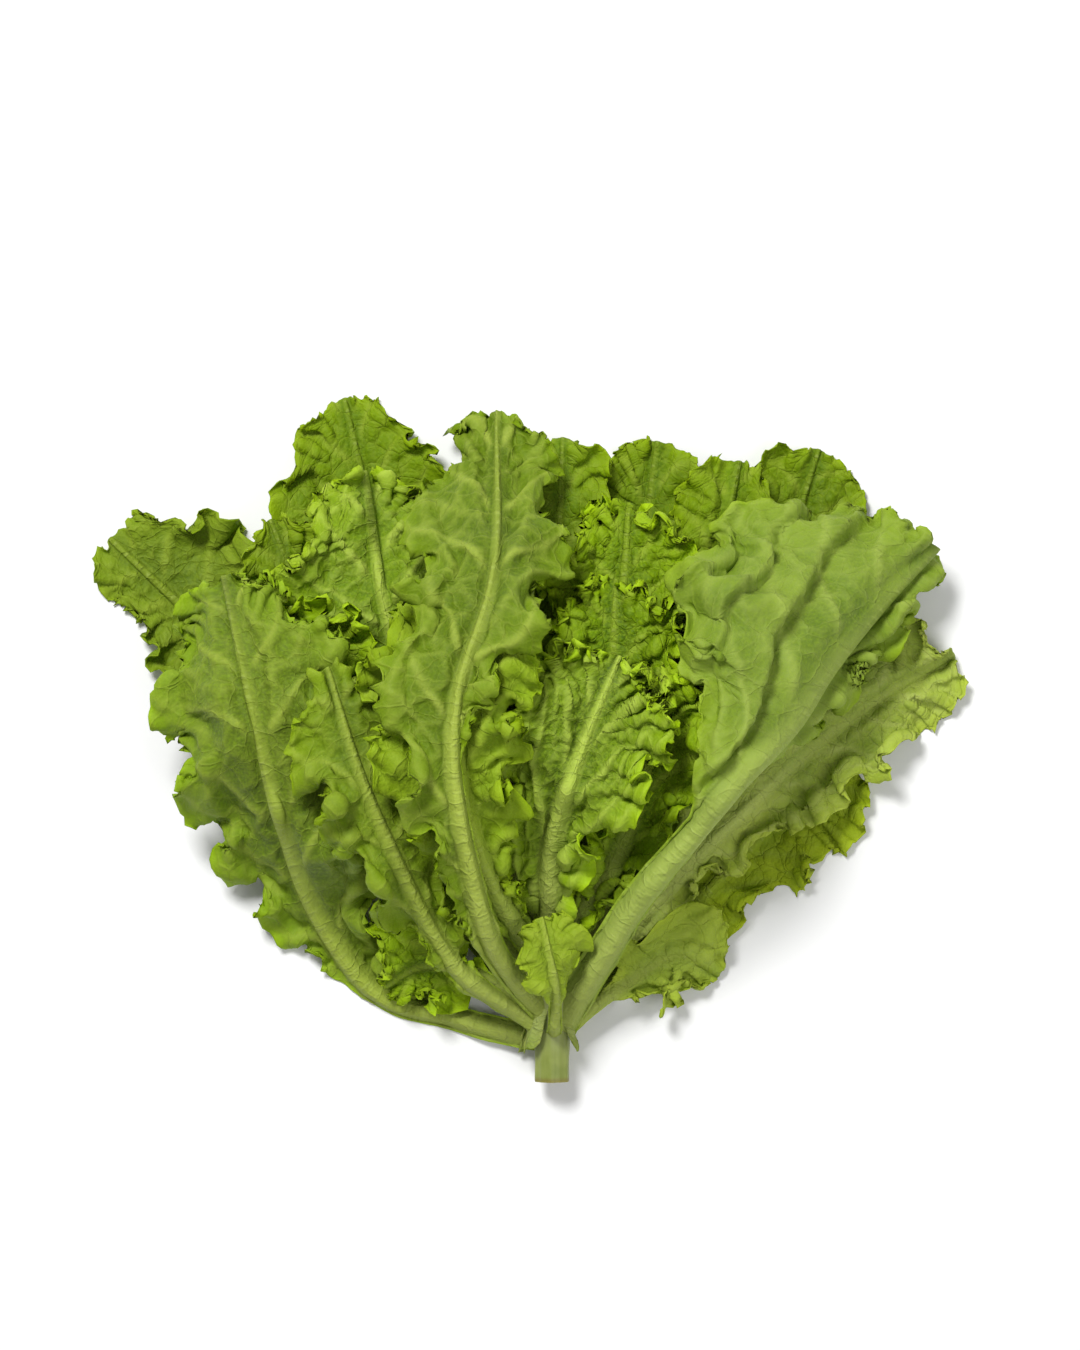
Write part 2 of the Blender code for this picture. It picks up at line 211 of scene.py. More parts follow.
def margin_phase(leaf, along, length, side):
    """The phase of a margin's widest waves, uneven along the leaf and different on each side."""
    draw = np.random.default_rng(leaf.seed * 2 + (side > 0))
    start, drift, drift_rate = draw.uniform(0, 2 * math.pi), draw.uniform(0.5, 1.1), draw.uniform(1.5, 3.0)
    turns = length / WAVE_LENGTH * draw.uniform(0.9, 1.15)
    return 2 * math.pi * turns * along + start + drift * np.sin(2 * math.pi * drift_rate * along)


def wing_arc(reach, width, slope, bend):
    """How far out and up a wing is at a reach along it: an arc that starts at slope and turns by bend."""
    turned = bend * np.maximum(reach, 1e-6) / width
    out = reach * (np.sin(slope + turned) - np.sin(slope)) / turned
    up = reach * (np.cos(slope) - np.cos(slope + turned)) / turned
    return out, up


def flat_leaf(leaf, along, across):
    """The surface halfway through a leaf's blade before it is laid, and measures of each of its points.

    A point is found by walking the rib, then out along the wing's arc. Towards the margin the wing
    rises and falls in waves, and it lags behind the rib so that the tip is round. The measures are:
    walk along the rib, signed reach from it, the same in half ribs, the share of the blade crossed,
    how far inward the margin lies, and where that side's wing begins.
    """
    rib, length = along_path(leaf.path, along)
    heading = np.gradient(rib, along * length, axis=0)
    heading /= np.linalg.norm(heading, axis=1)[:, None]
    aside = np.stack((heading[:, 1], -heading[:, 0]), axis=1)
    rib_height = leaf.crest * np.sin(math.pi * along) + leaf.tip * along**2

    on_left = across[None, :] < 0
    left_half, right_half = half_widths(leaf, along)
    width = np.where(on_left, left_half[:, None], right_half[:, None])
    rib_half = np.minimum(rib_half_width(leaf, along)[:, None], 0.8 * width)
    share = np.abs(across)[None, :]
    blade_share = np.clip((share - RIB_SHARE) / (1 - RIB_SHARE), 0, 1)
    reach = np.where(share < RIB_SHARE, rib_half * share / RIB_SHARE,
                     rib_half + (width - rib_half) * blade_share)

    slope = np.radians(np.where(on_left, leaf.left[0], leaf.right[0]))
    bend = np.radians(np.where(on_left, leaf.left[1], leaf.right[1]))
    out, up = wing_arc(reach, width, slope, bend)
    up = up * smooth_step(0.0, 0.35, along)[:, None]

    begin = np.where(on_left, leaf.stalks[0], leaf.stalks[1])
    grown = smooth_step(begin + 0.02, begin + 0.28, along[:, None])
    strength = leaf.wave * blade_share**1.6 * grown
    phase = np.where(on_left, margin_phase(leaf, along, length, -1)[:, None],
                     margin_phase(leaf, along, length, 1)[:, None])
    up = up + strength * np.sin(phase)
    out = out + SCALLOP * strength * np.cos(phase)
    lag = SWEEP * smooth_step(0.35, 1.0, along)[:, None] * width * share**2
    forward = 0.4 * strength * np.sin(2 * phase) - lag

    middle = np.empty((len(along), len(across), 3))
    out = np.where(on_left, -out, out)
    for axis in range(2):
        middle[..., axis] = rib[:, axis, None] + aside[:, axis, None] * out + heading[:, axis, None] * forward
    middle[..., 2] = rib_height[:, None] + up

    to_side = width - reach + 0.01
    to_tip = (1 - along)[:, None] * length + 0.01
    measures = {
        "walk": np.broadcast_to(along[:, None] * length, reach.shape),
        "reach": np.where(on_left, -reach, reach),
        "from_rib": reach / rib_half,
        "share": np.broadcast_to(blade_share, reach.shape),
        "inward": to_side * to_tip / np.hypot(to_side, to_tip),
        "length": length,
        "begin": np.broadcast_to(begin, reach.shape),
    }
    return middle, measures


def directions(middle):
    """A surface's unit normal, and its unit directions across and along the leaf."""
    across, along = np.gradient(middle, axis=1), np.gradient(middle, axis=0)
    normal = np.cross(across, along)
    return [vectors / np.maximum(np.linalg.norm(vectors, axis=2), 1e-9)[..., None]
            for vectors in (normal, across, along)]


def with_faces(leaf, middle, above_back, above_front):
    """A leaf's upper and lower faces, offset from its middle by the heights of its back and front."""
    normal = directions(middle)[0]
    above, below = (above_back, above_front) if leaf.back_up else (above_front, above_back)
    return middle + normal * above[..., None], middle - normal * below[..., None]


def rib_height_at(leaf, along):
    """How far the rib stands out of the back of the blade, thinning towards the tip."""
    return RIB_HEIGHT * (max(leaf.halves) / WING) ** 0.6 * (1 - 0.85 * along) + 0.3


def facet_samples(grid, steps):
    """Points on the two triangles that each of a grid's quads is split into."""
    share = np.linspace(0, 1, steps)
    s, t = (values.ravel()[:, None] for values in np.meshgrid(share, share, indexing="ij"))
    a, b, c, d = (corners[:, :, None] for corners in
                  (grid[:-1, :-1], grid[1:, :-1], grid[:-1, 1:], grid[1:, 1:]))
    return (a * (1 - np.maximum(s, t)) + d * np.minimum(s, t)
            + b * np.clip(s - t, 0, 1) + c * np.clip(t - s, 0, 1))


def of_neighbours(values, pick):
    """Each value replaced by the pick, such as the largest, of itself and the eight round it."""
    rows, columns = values.shape
    padded = np.pad(values, 1, mode="edge")
    return pick([padded[i:i + rows, j:j + columns] for i in range(3) for j in range(3)], axis=0)


class Pile:
    """The height of what has been laid so far, seen from above in square cells."""

    def __init__(self, cell, start):
        self.cell = cell
        self.height = np.full([int(size / cell) for size in PILE_SIZE], start)

    def cells(self, points):
        """The column and row of the cell that each point lies over, held inside the raster."""
        cell = np.floor((points[..., :2] - PILE_LOW) / self.cell).astype(int)
        cell = np.clip(cell, 0, np.array(self.height.shape) - 1)
        return cell[..., 0], cell[..., 1]

    def add(self, upper, steps):
        """Raise the cells under an upper face to the highest of the points on its facets."""
        points = facet_samples(upper, steps)
        np.maximum.at(self.height, self.cells(points), points[..., 2])

    def rise_needed(self, lower):
        """How far each point of a lower face must rise, or may sink, for its facets to clear the pile."""
        ground = of_neighbours(self.height, np.max)
        ground = np.where(ground > 0, ground + LAID_GAP, ground)
        points = facet_samples(lower, LAID_STEPS)
        need = (ground[self.cells(points)] - points[..., 2]).max(axis=2)
        rise = np.full(lower.shape[:2], -np.inf)
        rows, columns = need.shape
        for i, j in ((0, 0), (0, 1), (1, 0), (1, 1)):
            corner = rise[i:i + rows, j:j + columns]
            np.maximum(corner, need, out=corner)
        return rise


def laid_rise(leaf, pile):
    """How far each point of a leaf rises as it is laid on the pile: a taut sheet held by what it touches."""
    rows, columns = LARGE_GRID if leaf.large else SMALL_GRID
    along, across = np.linspace(0, 1, rows), np.linspace(-1, 1, columns)
    middle, measures = flat_leaf(leaf, along, across)
    bulge = np.clip(1 - measures["from_rib"] ** 2, 0, 1) * rib_height_at(leaf, along)[:, None]
    back, front = LAID_THICK / 2 + bulge, LAID_THICK / 2 + 0.25 * bulge
    unlaid = middle[..., 2].copy()
    _, lower = with_faces(leaf, middle, back, front)
    touching = pile.rise_needed(lower)
    rise = touching
    for _ in range(TAUTNESS):
        rise = np.maximum(touching, of_neighbours(rise, np.mean))
        rise[0] = np.maximum(touching[0], leaf.start - lower[0, :, 2].min())
    middle[..., 2] += rise

    # The raised sheet's own slopes turn its faces a little, so what they now touch lifts them again
    _, lower = with_faces(leaf, middle, back, front)
    middle[..., 2] += of_neighbours(np.clip(pile.rise_needed(lower), 0, None), np.max)
    upper, lower = with_faces(leaf, middle, back, front)
    flattened = np.clip(-lower[..., 2], 0, None)
    upper[..., 2] += flattened
    pile.add(upper, LAID_STEPS)
    return middle[..., 2] + flattened - unlaid


def crumple(seed, measures, size):
    """A smooth uneven field between about -1 and 1: five sine waves of about one length, turned at random."""
    draw = np.random.default_rng(seed)
    field = 0
    for _ in range(5):
        turn, length, start = draw.uniform(0, math.pi), size * draw.uniform(0.75, 1.4), draw.uniform(0, 6.3)
        walked = measures["walk"] * math.cos(turn) + measures["reach"] * math.sin(turn)
        field = field + np.sin(2 * math.pi * walked / length + start)
    return field / 2.2


def margin_turn(leaf, measures):
    """Where the nearest point of the margin lies, and which way the margin runs there.

    place: the distance along the margin, which runs up one side, round the tip in an arc and down the
    other. turn: the angle between the rib and the way out to the margin, a right angle on the sides.
    """
    radius = max(leaf.halves)
    across = np.abs(measures["reach"])
    ahead = measures["walk"] - 0.45 * across - (measures["length"] - 0.9 * radius)
    turn = np.arctan2(across, np.maximum(ahead, 0) + 1e-6)
    place = np.where(ahead > 0, radius * turn, radius * math.pi / 2 - ahead)
    return np.where(measures["reach"] < 0, -place, place), turn


def frilled(leaf, skin, middle, measures):
    """A leaf's surface with its margin cut into teeth and frilled.

    A tooth is a cusp, one less a power of a sine's size, that moves the margin out. Each run of frills
    stands on the last: it moves the surface along its normal by a sine of the place along the margin,
    and along the margin by a sine of twice that, which makes the crests lean over. It dies out inwards.
    """
    place, turn = margin_turn(leaf, measures)
    side = np.where(measures["reach"] < 0, -1, 1)
    grown = smooth_step(measures["begin"], measures["begin"] + 0.15, measures["walk"] / measures["length"])
    grown = grown * smooth_step(0, 0.25, measures["share"])

    _, across, along = directions(middle)
    outward = across * (side * np.sin(turn))[..., None] + along * np.cos(turn)[..., None]
    size = skin.teeth * (1 + 0.5 * crumple(leaf.seed + 101, measures, 26))
    small = 1 - np.abs(np.sin(math.pi * place / 5.3 + 1.5 * crumple(leaf.seed + 102, measures, 14))) ** 0.7
    wide = 1 - np.abs(np.sin(math.pi * place / 13.7 + 1.5 * crumple(leaf.seed + 103, measures, 30))) ** 0.8
    tooth = size * (small + 1.6 * wide - 0.9) * grown * np.exp(-measures["inward"] / 1.8)
    middle = middle + outward * tooth[..., None]

    small_leaf = min(1.0, max(leaf.halves) / WIDE_ENOUGH)
    for run, (length, full_height) in enumerate(skin.frills):
        height = full_height * small_leaf
        normal, across, along = directions(middle)
        margin = across * np.cos(turn)[..., None] - along * (side * np.sin(turn))[..., None]
        phase = 2 * math.pi * place / length + 2.3 * crumple(leaf.seed + 10 * run, measures, 2.6 * length)
        strength = height * np.exp(-measures["inward"] / (0.65 * length)) * grown
        strength = strength * (1 + 0.45 * crumple(leaf.seed + 10 * run + 5, measures, 3 * length))
        lean = skin.curl * length * np.clip(strength / height, 0, 1)
        middle = (middle + normal * (strength * np.sin(phase))[..., None]
                  - margin * (lean * np.sin(2 * phase))[..., None])
    return middle


def net_walls(u, v, seed):
    """How far each place is from the nearest wall between cells grown round the points of an uneven grid.

    It is the difference between the distances to the nearest two points, in cells.
    """
    scattered = np.random.default_rng(seed).uniform(0.12, 0.88, (NET_SIDE, NET_SIDE, 2))
    column, row = np.floor(u).astype(int), np.floor(v).astype(int)
    distances = []
    for i in (-1, 0, 1):
        for j in (-1, 0, 1):
            point = scattered[(column + i) % NET_SIDE, (row + j) % NET_SIDE]
            distances.append(np.hypot(column + i + point[..., 0] - u, row + j + point[..., 1] - v))
    nearest = np.sort(np.stack(distances), axis=0)
    return nearest[1] - nearest[0]


def veins(leaf, skin, measures):
    """The ridges of the side veins and of the net between them, and the blisters.

    Side veins leave the rib at an even gap and lean forward as they run out, and more begin between
    them halfway. u is measured across them and v along them. The net's cells line up with them, and a
    blister is a dome over each cell that falls to its walls and to the side veins.
    """
    across = np.abs(measures["reach"])
    slant = math.atan(1 / skin.lean)
    wander = 2.5 * crumple(leaf.seed + 40, measures, 45)
    u = (measures["walk"] - skin.lean * across + 0.005 * across**2 + wander) * math.sin(slant)
    u = u + np.where(measures["reach"] < 0, 0, 31.4)
    v = measures["walk"] * math.cos(slant) + across * math.sin(slant)
    from_vein = np.abs(u / skin.vein_gap - np.round(u / skin.vein_gap)) * skin.vein_gap
    beyond_rib = smooth_step(0.0, 0.12, measures["share"])
    between = np.abs(skin.vein_gap / 2 - from_vein)
    branch = smooth_step(0.25, 0.6, measures["share"]) * 0.7
    ridge = np.maximum(np.exp(-(from_vein / (1.2 - 0.5 * measures["share"])) ** 2),
                       branch * np.exp(-(between / 0.7) ** 2)) * (1 - 0.65 * measures["share"])
    walls = net_walls(u / skin.cell, 0.8 * v / skin.cell, leaf.seed + 60)
    net = np.exp(-(walls / 0.17) ** 2)
    dome = (1 - np.exp(-(walls / 0.35) ** 2)) * (0.35 + 0.65 * (1 - np.exp(-(from_vein / 2.2) ** 2)))
    return ridge * beyond_rib, net * beyond_rib, (dome - 0.4) * beyond_rib


def heights_seen(node_object, cell, from_below):
    """The lowest heights in square cells, lowered to those of points spread over a node's triangles."""
    mesh = node_object.data
    mesh.calc_loop_triangles()
    corners = np.empty(len(mesh.loop_triangles) * 3, np.int32)
    mesh.loop_triangles.foreach_get("vertices", corners)
    places = np.empty(len(mesh.vertices) * 3, np.float32)
    mesh.vertices.foreach_get("co", places)
    triangles = (places.reshape(-1, 3)[corners].reshape(-1, 3, 3) - CROWN) / MM
    share = np.linspace(0, 1, 11)
    s, t = (values.ravel() for values in np.meshgrid(share, share))
    s, t = s[s + t <= 1.001], t[s + t <= 1.001]
    points = (triangles[:, None, 0] * (1 - s - t)[:, None] + triangles[:, None, 1] * s[:, None]
              + triangles[:, None, 2] * t[:, None])
    np.minimum.at(from_below, Pile(cell, 0.0).cells(points), points[..., 2])
    return from_below


def bent_to_crown(middle, measures):
    """The shift that carries the start of a stalk into the stem, dying out along the leaf.

    The stem's section a little further back is an ellipse. The stalk's end goes to the point ROOT_DEEP
    inside it that faces the stalk.
    """
    base = middle[0, middle.shape[1] // 2]
    y = np.clip(base[1] - ROOT_BACK, -12, 44)
    half_width, half_height, height = (np.interp(y, STEM_SECTIONS[:, 0], STEM_SECTIONS[:, k])
                                       for k in (1, 2, 3))
    out = np.array((base[0], 0, base[2] - height))
    out /= np.linalg.norm(out)
    deep = 1 / math.hypot(out[0] / half_width, out[2] / half_height) - ROOT_DEEP
    end = np.array((0, y, height)) + out * max(deep, 0.5)
    share = 1 - smooth_step(0, ROOT_SHARE, measures["walk"] / measures["length"])
    return (end - base) * share[..., None]


def spread(move):
    """A move that dies away gently round the places that need it."""
    spread_out = move
    for _ in range(SPREAD_ROUNDS):
        spread_out = np.maximum(move, of_neighbours(spread_out, np.mean))
    return spread_out


def closed_mesh(name, upper, lower, attributes):
    """A closed mesh from two faces with the same grid, and a wall round their edge.

    Each attribute is a grid for both faces or a pair of grids, one for each.
    """
    rows, columns = upper.shape[:2]
    at = np.arange(rows * columns).reshape(rows, columns)
    top = np.stack((at[:-1, :-1], at[:-1, 1:], at[1:, 1:], at[1:, :-1]), axis=-1).reshape(-1, 4)
    rim = np.concatenate((at[0], at[1:, -1], at[-1, -2::-1], at[-2:0:-1, 0]))
    ahead = np.roll(rim, -1)
    low = rows * columns
    wall = np.stack((ahead, rim, rim + low, ahead + low), axis=-1)
    faces = np.concatenate((top, top[:, ::-1] + low, wall))
    points = np.concatenate((upper.reshape(-1, 3), lower.reshape(-1, 3))) * MM + CROWN
    mesh = bpy.data.meshes.new(name)
    mesh.from_pydata(points, [], faces.tolist())
    for label, values in attributes.items():
        upper_values, lower_values = values if isinstance(values, tuple) else (values, values)
        both = np.concatenate((upper_values.ravel(), lower_values.ravel())).astype(np.float32)
        mesh.attributes.new(label, "FLOAT", "POINT").data.foreach_set("value", both)
    mesh.shade_smooth()
    return mesh


def linear(colour):
    """An sRGB hex colour as linear red, green, blue and alpha."""
    srgb = np.array([colour >> 16 & 255, colour >> 8 & 255, colour & 255]) / 255
    return (*np.where(srgb > 0.04045, ((srgb + 0.055) / 1.055) ** 2.4, srgb / 12.92), 1)


def add_node(tree, kind, inputs, output=0, **settings):
    """A shader node's output. Each input is linked to another output or given a value."""
    made = tree.nodes.new(kind)
    for key, value in settings.items():
        setattr(made, key, value)
    for key, value in inputs.items():
        if isinstance(value, bpy.types.NodeSocket):
            tree.links.new(value, made.inputs[key])
        else:
            made.inputs[key].default_value = value
    return made.outputs[output]


def mixed(tree, share, first, second):
    """A colour that goes from the first to the second as the share goes from 0 to 1."""
    return add_node(tree, "ShaderNodeMix", {0: share, 6: first, 7: second}, 2, data_type="RGBA")


def scaled(tree, value, factor, offset=0.0):
    """A value times a factor, plus an offset."""
    return add_node(tree, "ShaderNodeMath", {0: value, 1: factor, 2: offset}, operation="MULTIPLY_ADD")


def leaf_finish(name, skin):
    """Waxy leaf: green mottled by object noise, paler along ribs and veins, yellower at the margin, with
    painted highlight along the fold crests and in a thin bright band at the margin's very edge.

    The back is greyer than the front. A rib is pale at its foot and greener towards the tip, and short
    rungs cross it. Light goes a few millimetres through the thin blade. Veins stand out of the back and
    are drawn into the front, in nets of two sizes.
    """
    material = bpy.data.materials.new(name)
    material.use_nodes = True
    tree = material.node_tree
    shader = tree.nodes["Principled BSDF"]
    seen = {label: add_node(tree, "ShaderNodeAttribute", {}, 2, attribute_name=label)
            for label in ("rib", "vein", "net", "edge", "back", "q", "walk")}
    place = add_node(tree, "ShaderNodeTexCoord", {}, 3)
    flat = add_node(tree, "ShaderNodeCombineXYZ", {0: seen["q"], 1: seen["walk"], 2: 0.0})

    cloud = add_node(tree, "ShaderNodeTexNoise", {"Vector": place, "Scale": 38.0, "Detail": 3.0})
    fleck = add_node(tree, "ShaderNodeTexNoise", {"Vector": flat, "Scale": 0.9, "Detail": 4.0})
    drift = add_node(tree, "ShaderNodeTexNoise", {"Vector": flat, "Scale": 0.13, "Detail": 2.0}, 1)
    drifted = add_node(tree, "ShaderNodeVectorMath", {0: drift, 1: (6.0, 6.0, 0.0), 2: flat},
                       operation="MULTIPLY_ADD")
    nets = []
    for scale, line in ((0.9 / skin.cell, 0.045), (2.4 / skin.cell, 0.09)):
        wall = add_node(tree, "ShaderNodeTexVoronoi", {"Vector": drifted, "Scale": scale, "Randomness": 0.9},
                        feature="DISTANCE_TO_EDGE")
        nets.append(add_node(tree, "ShaderNodeMapRange", {0: wall, 1: 0.0, 2: line, 3: 1.0, 4: 0.0}))
        nets.append(add_node(tree, "ShaderNodeMapRange", {0: wall, 1: 0.0, 2: 0.35}))
    wide_net, wide_cell, fine_net, fine_cell = nets

    deep = np.array(linear(skin.blade)) * (0.56, 0.67, 0.4, 1)
    bright = np.array(linear(skin.blade)) * (1.1, 1.12, 0.9, 1)
    colour = mixed(tree, add_node(tree, "ShaderNodeMapRange", {0: cloud, 1: 0.36, 2: 0.64}), deep, bright)
    speckled = add_node(tree, "ShaderNodeMapRange", {0: fleck, 1: 0.42, 2: 0.70, 4: 0.35})
    colour = mixed(tree, speckled, colour, linear(skin.margin))
    colour = mixed(tree, scaled(tree, seen["edge"], 0.85), colour, linear(skin.margin))
    colour = mixed(tree, scaled(tree, seen["back"], 0.08), colour, linear(BACK_BLOOM))
    greening = add_node(tree, "ShaderNodeMapRange", {0: seen["walk"], 1: 85.0, 2: 190.0, 3: 1.0, 4: 0.45})
    rib_shown = add_node(tree, "ShaderNodeMath", {0: seen["rib"], 1: scaled(tree, seen["back"], 0.4, 0.56)},
                         operation="MULTIPLY")
    rib_shown = add_node(tree, "ShaderNodeMath", {0: rib_shown, 1: greening}, operation="MULTIPLY")
    # Paler along the nets and veins, and along the fold crests that the vein attribute also carries, which is
    # painted highlight.
    for share in (scaled(tree, fine_net, 0.08), scaled(tree, wide_net, 0.2), scaled(tree, seen["net"], 0.22),
                  scaled(tree, seen["vein"], 0.72), rib_shown):
        colour = mixed(tree, share, colour, linear(skin.rib))
    # A thin very bright band at the margin's very edge: painted highlight, for light shining through the thin
    # edge.
    edge_highlight = add_node(tree, "ShaderNodeMapRange", {0: seen["edge"], 1: 0.86, 2: 0.98, 4: 0.3})
    colour = mixed(tree, edge_highlight, colour, np.array(linear(skin.margin)) * 1.3)

    rung_place = add_node(tree, "ShaderNodeCombineXYZ", {0: scaled(tree, seen["q"], 0.2), 1: seen["walk"]})
    rungs = add_node(tree, "ShaderNodeTexNoise", {"Vector": rung_place, "Scale": 0.55, "Detail": 1.0})
    rungs = add_node(tree, "ShaderNodeMapRange", {0: rungs, 1: 0.50, 2: 0.66})
    crest = add_node(tree, "ShaderNodeMapRange", {0: seen["rib"], 1: 0.72, 2: 1.0})
    rungs = add_node(tree, "ShaderNodeMath", {0: rungs, 1: crest}, operation="MULTIPLY")
    strand_place = add_node(tree, "ShaderNodeCombineXYZ", {0: seen["q"], 1: scaled(tree, seen["walk"], 0.03)})
    strands = add_node(tree, "ShaderNodeTexNoise", {"Vector": strand_place, "Scale": 1.3, "Detail": 2.0})
    strands = add_node(tree, "ShaderNodeMath", {0: strands, 1: seen["rib"]}, operation="MULTIPLY")
    colour = mixed(tree, scaled(tree, rungs, 0.3), colour, linear(RUNG_PALE))
    foot = add_node(tree, "ShaderNodeMapRange", {0: seen["walk"], 1: 8.0, 2: 55.0, 3: 0.75, 4: 0.0})
    foot = add_node(tree, "ShaderNodeMath", {0: foot, 1: seen["rib"]}, operation="MULTIPLY")
    colour = mixed(tree, foot, colour, linear(STALK_PALE))
    tree.links.new(colour, shader.inputs["Base Color"])

    outward = scaled(tree, seen["back"], 2.0, -1.0)
    puffed = add_node(tree, "ShaderNodeMath",
                      {0: scaled(tree, fine_cell, -0.5), 1: scaled(tree, wide_cell, -0.9)}, operation="ADD")
    relief = add_node(tree, "ShaderNodeMath", {0: puffed, 1: scaled(tree, wide_net, 0.5)}, operation="ADD")
    relief = add_node(tree, "ShaderNodeMath", {0: relief, 1: outward}, operation="MULTIPLY")
    grain = add_node(tree, "ShaderNodeTexNoise", {"Vector": place, "Scale": 900.0, "Detail": 2.0})
    for more in (scaled(tree, rungs, 0.4), scaled(tree, strands, 1.0), scaled(tree, grain, 0.7)):
        relief = add_node(tree, "ShaderNodeMath", {0: relief, 1: more}, operation="ADD")
    bump = add_node(tree, "ShaderNodeBump", {"Strength": 0.8, "Distance": 0.0003 + 0.0002 * skin.blister,
                                               "Height": relief})
    tree.links.new(bump, shader.inputs["Normal"])
    tree.links.new(scaled(tree, cloud, 0.24, 0.50), shader.inputs["Roughness"])
    shader.inputs["Specular IOR Level"].default_value = 0.12
    shader.inputs["Subsurface Weight"].default_value = 0.08
    shader.inputs["Subsurface Radius"].default_value = (0.7, 1.0, 0.1)
    shader.inputs["Subsurface Scale"].default_value = 0.003
    return material


def leaf_piece(leaf, skin):
    """A leaf's finished object, laid on the leaves made so far and under those still to come."""
    rise = laid_rise(leaf, laid_pile)
    rows = int(along_path(leaf.path, np.zeros(1))[1] / skin.step)
    columns = 2 * int(0.56 * sum(leaf.halves) / skin.step) + 1
    along = np.sin(np.linspace(0, 0.9, rows)) / math.sin(0.9)
    across = np.sin(np.linspace(-1.15, 1.15, columns)) / math.sin(1.15)
    middle, measures = flat_leaf(leaf, along, across)
    rise = on_curve(rise, along * (rise.shape[0] - 1))
    middle[..., 2] += on_curve(rise.T, (across + 1) / 2 * (rise.shape[1] - 1)).T

    # Long folds run out from the stalk, steep on the rib's side and gentle on the other. Then come the
    # frills, and blisters that swell towards the front.
    share, reach = measures["share"], np.abs(measures["reach"])
    on_blade = smooth_step(0, 0.2, share)
    on_blade = on_blade * smooth_step(measures["begin"] - 0.05, measures["begin"] + 0.15, along[:, None])
    fold_place = (reach - 0.12 * measures["walk"]) / FOLD_GAP + 0.25 * crumple(leaf.seed + 70, measures, 80)
    risen = fold_place - np.floor(fold_place)
    folds = 2.1 * np.minimum(smooth_step(0, FOLD_STEEP, risen), (1 - risen) / 0.8) - 0.5
    folds = (folds + 0.15 * crumple(leaf.seed + 71, measures, 24)) * on_blade * (1 - 0.4 * share)
    # A pale line along each fold's crest, where its steep side tops out, is a painted highlight; it goes into
    # the vein attribute.
    fold_crest_highlight = 0.11 * skin.pleat * np.exp(-((risen - FOLD_STEEP) / 0.05) ** 2) * on_blade
    middle = middle + directions(middle)[0] * (skin.pleat * folds)[..., None]
    middle = frilled(leaf, skin, middle, measures)
    ridge, net, dome = veins(leaf, skin, measures)
    front = -1 if leaf.back_up else 1
    calm = 1 - 0.55 * np.exp(-measures["inward"] / 5)
    middle = middle + directions(middle)[0] * (front * skin.blister * dome * calm)[..., None]

    blade = BLADE_THICK / 2 * (1 - 0.6 * np.exp(-measures["inward"] / 2))
    sunk_end = 0.45 + 0.55 * smooth_step(0, 0.10, along)[:, None]
    bulge = np.clip(1 - measures["from_rib"] ** 2, 0, 1) ** 1.2 * sunk_end
    bulge = bulge * rib_height_at(leaf, along)[:, None]
    raised = skin.vein * ridge + 0.22 * skin.vein * net
    upper, lower = with_faces(leaf, middle, blade + bulge + raised, blade + 0.25 * bulge - 0.35 * raised)

    roof = of_neighbours(np.min([low for name, low in still_to_come.items() if name != leaf.name] + [no_roof],
                                axis=0), np.min)
    sink = np.clip(upper[..., 2] + FINE_GAP - roof[fine_pile.cells(upper)], 0, SINK_MOST)
    sink = spread(sink)
    ground = of_neighbours(fine_pile.height, np.max)
    lift = np.clip(ground[fine_pile.cells(lower)] + FINE_GAP - lower[..., 2] + sink, 0, None)
    move = spread(lift) - sink
    upper[..., 2] += move
    lower[..., 2] += move
    fine_pile.add(upper, FINE_STEPS)
    still_to_come.pop(leaf.name)
    root = bent_to_crown((upper + lower) / 2, measures)
    upper, lower = upper + root, lower + root
    lower[..., 2] = np.maximum(lower[..., 2], 0.0)
    upper[..., 2] = np.maximum(upper[..., 2], THIN_LEAST)

    on_back = (np.ones_like(share), np.zeros_like(share))
    mesh = closed_mesh(leaf.name + "_blade", upper, lower, {
        "rib": np.clip(1.35 - measures["from_rib"], 0, 1) ** 0.8,
        # vein: the side veins, and the painted highlight along the fold crests
        "vein": np.maximum(ridge, fold_crest_highlight),
        "net": net,
        "edge": np.exp(-measures["inward"] / 9) * smooth_step(0, 0.3, share),
        "back": on_back if leaf.back_up else on_back[::-1],
        "q": measures["reach"],
        "walk": measures["walk"],
    })
    mesh.materials.append(leaf_finish(leaf.name, skin))
    piece = bpy.data.objects.new(leaf.name + "_blade", mesh)
    bpy.context.scene.collection.objects.link(piece)
    return piece


laid_pile = Pile(LAID_CELL, -PRESS)
fine_pile = Pile(FINE_CELL, 0.0)
no_roof = np.full(fine_pile.height.shape, np.inf)
still_to_come = {name: heights_seen(node, FINE_CELL, no_roof.copy()) for name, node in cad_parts.items()}

